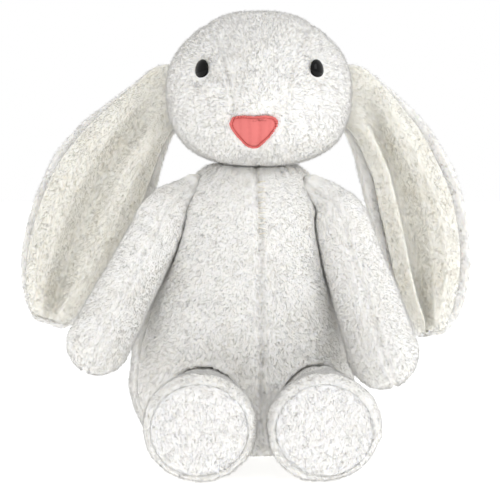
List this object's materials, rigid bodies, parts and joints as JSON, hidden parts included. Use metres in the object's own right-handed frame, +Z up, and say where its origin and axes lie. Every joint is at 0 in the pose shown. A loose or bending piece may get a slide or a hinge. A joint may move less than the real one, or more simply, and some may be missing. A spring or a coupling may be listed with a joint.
{
  "type": "seated plush rabbit",
  "caption": "Seated long-eared plush rabbit: sewn skin panels over stuffing, with head, ears, arms and legs that bend at soft joints.",
  "frame": {"origin": "on the seat, where the torso rests on the surface, in the toy's left-right middle plane", "axes": "+Z up from seat to crown, -Y the way the face and soles look, +X the toy's own left"},
  "size_m": [0.2872, 0.2027, 0.273],
  "materials": {
    "plush": "matte",
    "lining": "matte",
    "sole": "matte",
    "stuffing": "matte",
    "thread": "matte",
    "nose": "satin",
    "eye": "gloss",
    "washer": "matte"
  },
  "bodies": {
    "torso": {"torso_front_left": "plush", "torso_front_right": "plush", "torso_back": "plush", "torso_stuffing": "stuffing", "tail_skin": "plush", "tail_stuffing": "stuffing"},
    "neck": {"neck_core": "plush", "neck_gather": "thread"},
    "head": {"head_gusset": "plush", "head_side_left": "plush", "head_side_right": "plush", "head_stuffing": "stuffing", "nose_patch": "nose", "eye_left": "eye", "eye_right": "eye", "eye_washer_left": "washer", "eye_washer_right": "washer"},
    "ear_left": {"ear_left_back": "plush", "ear_left_lining": "lining"},
    "ear_right": {"ear_right_back": "plush", "ear_right_lining": "lining"},
    "arm_left": {"arm_left_outer": "plush", "arm_left_inner": "plush", "arm_left_stuffing": "stuffing"},
    "arm_right": {"arm_right_outer": "plush", "arm_right_inner": "plush", "arm_right_stuffing": "stuffing"},
    "leg_left": {"leg_left_outer": "plush", "leg_left_inner": "plush", "leg_left_sole": "sole", "leg_left_stuffing": "stuffing"},
    "leg_right": {"leg_right_outer": "plush", "leg_right_inner": "plush", "leg_right_sole": "sole", "leg_right_stuffing": "stuffing"}
  },
  "joints": [
    {"name": "neck_turn", "type": "hinge", "parent": "torso", "child": "neck", "pos_m": [0, -0.005, 0.192], "axis": [0, 0, 1], "range_deg": [-10, 10], "stiffness_Nm_per_rad": 0.6},
    {"name": "head_nod", "type": "hinge", "parent": "neck", "child": "head", "pos_m": [0, -0.005, 0.192], "axis": [1, 0, 0], "range_deg": [-8, 12], "stiffness_Nm_per_rad": 0.8},
    {"name": "ear_left_lift", "type": "hinge", "parent": "head", "child": "ear_left", "pos_m": [0.058, 0.02, 0.222], "axis": [0, -1, 0], "range_deg": [0, 75]},
    {"name": "ear_right_lift", "type": "hinge", "parent": "head", "child": "ear_right", "pos_m": [-0.058, 0.02, 0.222], "axis": [0, 1, 0], "range_deg": [0, 75]},
    {"name": "shoulder_left", "type": "hinge", "parent": "torso", "child": "arm_left", "pos_m": [0.04623, -0.021, 0.153], "axis": [-1, 0, 0], "range_deg": [0, 90]},
    {"name": "shoulder_right", "type": "hinge", "parent": "torso", "child": "arm_right", "pos_m": [-0.05423, -0.021, 0.153], "axis": [-1, 0, 0], "range_deg": [0, 90]},
    {"name": "hip_left", "type": "hinge", "parent": "torso", "child": "leg_left", "pos_m": [0.036, -0.0507, 0.0325], "axis": [-1, 0, 0], "range_deg": [0, 20]},
    {"name": "hip_right", "type": "hinge", "parent": "torso", "child": "leg_right", "pos_m": [-0.034, -0.0507, 0.0325], "axis": [-1, 0, 0], "range_deg": [0, 20]}
  ]
}
